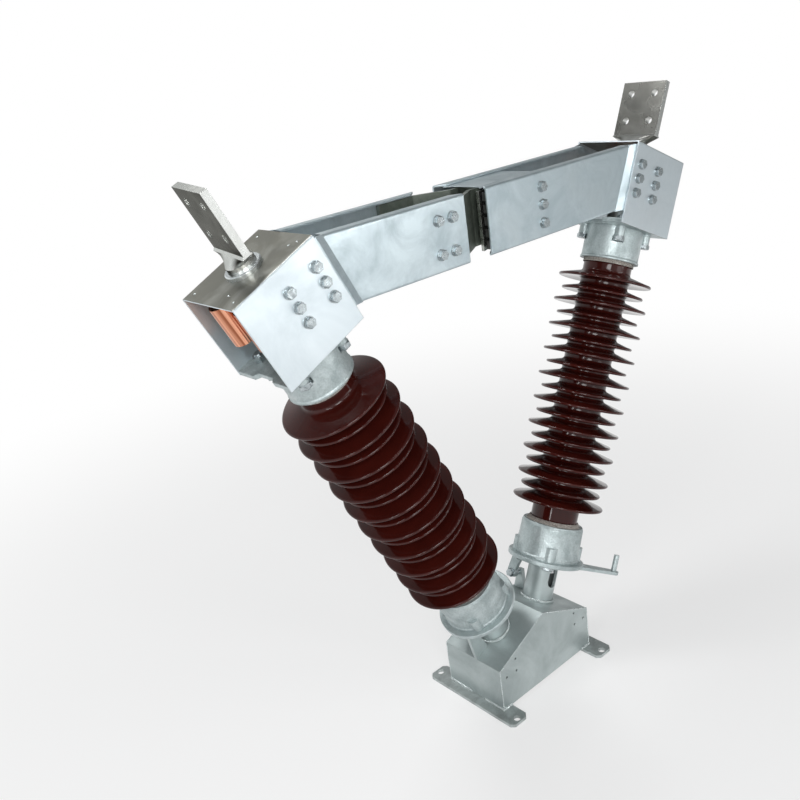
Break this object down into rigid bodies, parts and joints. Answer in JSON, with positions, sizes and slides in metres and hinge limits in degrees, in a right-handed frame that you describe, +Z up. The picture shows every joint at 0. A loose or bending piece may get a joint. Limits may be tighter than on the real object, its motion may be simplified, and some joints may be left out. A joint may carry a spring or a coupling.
{
  "type": "v-type disconnector",
  "caption": "V-type centre-break disconnector pole: geared porcelain columns on a gabled base, swinging channel arms, finger contact and swivel palms.",
  "frame": {"origin": "on the floor under the middle of the base, centre of the rectangle of foot holes", "axes": "+X along the closed arms towards the finger side, +Y towards the back, +Z up"},
  "size_m": [1.2982, 0.288, 1.3521],
  "materials": {
    "base_paint": "satin",
    "bearing_steel": "polished",
    "steel": "satin",
    "gear_iron": "rough",
    "galvanised": "rough",
    "bolt_steel": "satin",
    "brown_glaze": "gloss",
    "cement": "rough",
    "box_metal": "satin",
    "collar_metal": "polished",
    "copper": "satin",
    "arm_metal": "satin",
    "terminal_metal": "brushed",
    "tinned_copper": "satin",
    "holder_metal": "satin",
    "spring_steel": "polished",
    "guard_metal": "satin"
  },
  "bodies": {
    "base": {"base_housing": "base_paint", "left_foot_bar": "base_paint", "left_bearing_housing": "base_paint", "left_outer_races": "bearing_steel", "left_stop_block": "base_paint", "right_foot_bar": "base_paint", "right_bearing_housing": "base_paint", "right_outer_races": "bearing_steel", "right_stop_block": "base_paint"},
    "left_column": {"left_shaft": "steel", "left_bevel_gear": "gear_iron", "left_inner_races": "bearing_steel", "left_bearing_balls": "bearing_steel", "left_turntable": "galvanised", "left_bottom_flange": "galvanised", "left_bottom_flange_bolts": "bolt_steel", "left_porcelain": "brown_glaze", "left_cement_rings": "cement", "left_top_flange": "galvanised", "left_top_flange_bolts": "bolt_steel", "left_box_floor": "box_metal", "left_box_cover": "box_metal", "left_terminal_collar": "collar_metal", "left_flexible_connector": "copper", "left_box_bolts": "bolt_steel", "left_arm_front_channel": "arm_metal", "left_arm_rear_channel": "arm_metal", "male_contact": "tinned_copper", "male_contact_bolts": "bolt_steel"},
    "left_terminal": {"left_terminal": "terminal_metal"},
    "right_column": {"right_shaft": "steel", "right_bevel_gear": "gear_iron", "right_inner_races": "bearing_steel", "right_bearing_balls": "bearing_steel", "right_turntable": "galvanised", "right_bottom_flange": "galvanised", "right_bottom_flange_bolts": "bolt_steel", "right_porcelain": "brown_glaze", "right_cement_rings": "cement", "right_top_flange": "galvanised", "right_top_flange_bolts": "bolt_steel", "right_box_floor": "box_metal", "right_box_cover": "box_metal", "right_terminal_collar": "collar_metal", "right_flexible_connector": "copper", "right_box_bolts": "bolt_steel", "right_arm_front_channel": "arm_metal", "right_arm_rear_channel": "arm_metal", "right_stop_lever": "galvanised", "right_stop_screw": "bolt_steel", "right_drive_lever": "galvanised", "finger_holder": "holder_metal", "front_contact_fingers": "tinned_copper", "rear_contact_fingers": "tinned_copper", "finger_springs": "spring_steel", "finger_guard": "guard_metal", "right_arm_bolts": "bolt_steel"},
    "right_terminal": {"right_terminal": "terminal_metal"}
  },
  "joints": [
    {"name": "right_column_turn", "type": "hinge", "parent": "base", "child": "right_column", "pos_m": [0, 0, -0.0144], "axis": [0.4226, 0, 0.9063], "range_deg": [0, 90]},
    {"name": "left_column_turn", "type": "hinge", "parent": "base", "child": "left_column", "pos_m": [0, 0, -0.0144], "axis": [0.4226, 0, -0.9063], "range_deg": [0, 90]},
    {"name": "right_terminal_swivel", "type": "hinge", "parent": "right_column", "child": "right_terminal", "pos_m": [0, 0, -0.0144], "axis": [0.4226, 0, 0.9063], "range_deg": [-100, 100]},
    {"name": "left_terminal_swivel", "type": "hinge", "parent": "left_column", "child": "left_terminal", "pos_m": [0, 0, -0.0144], "axis": [-0.4226, 0, 0.9063], "range_deg": [-100, 100]}
  ],
  "couplings": [
    {"joint": "left_column_turn", "follows": "right_column_turn", "ratio": 1}
  ]
}
